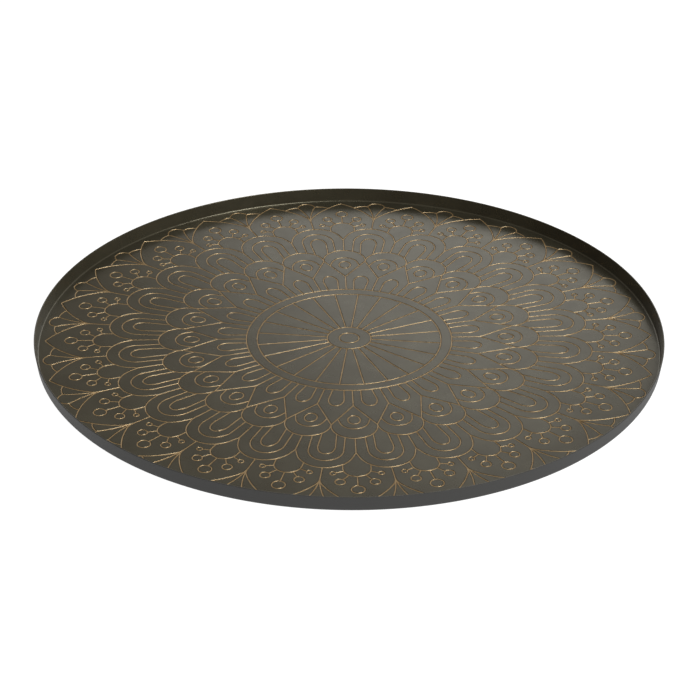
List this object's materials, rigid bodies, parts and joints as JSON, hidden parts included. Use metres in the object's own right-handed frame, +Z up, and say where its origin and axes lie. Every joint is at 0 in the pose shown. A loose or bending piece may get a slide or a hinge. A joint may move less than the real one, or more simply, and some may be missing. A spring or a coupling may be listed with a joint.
{
  "type": "round serving tray",
  "caption": "Round shallow metal serving tray with a low upright wall and a petal mandala of brass lines let into its dark floor.",
  "frame": {"origin": "centre of the underside of the tray's floor", "axes": "+Z up out of the tray, +X along the middle of one pointed petal of the engraving"},
  "size_m": [0.5998, 0.5998, 0.0152],
  "materials": {
    "dark_bronze": "dark bronze patina, satin",
    "gold_line": "bare brass, slightly aged, satin"
  },
  "bodies": {
    "root": {"tray_pan": "dark_bronze", "centre_ring_strip": "gold_line", "hub_ring_strip": "gold_line", "inner_wheel_ring_strip": "gold_line", "outer_wheel_ring_strip": "gold_line", "eye_petal_strips": "gold_line", "outer_arch_strips": "gold_line", "ogive_strips": "gold_line", "spoke_strips": "gold_line", "small_arch_strips": "gold_line", "forked_rib_strips": "gold_line", "eyelid_strips": "gold_line", "eye_ring_strips": "gold_line", "arch_post_strips": "gold_line", "middle_arch_strips": "gold_line", "inner_arch_strips": "gold_line", "bud_strips": "gold_line", "bead_ring_strips": "gold_line", "bead_stem_strips": "gold_line", "ogive_neck_strips": "gold_line", "scallop_strips": "gold_line", "fan_vein_strips": "gold_line"}
  },
  "joints": []
}
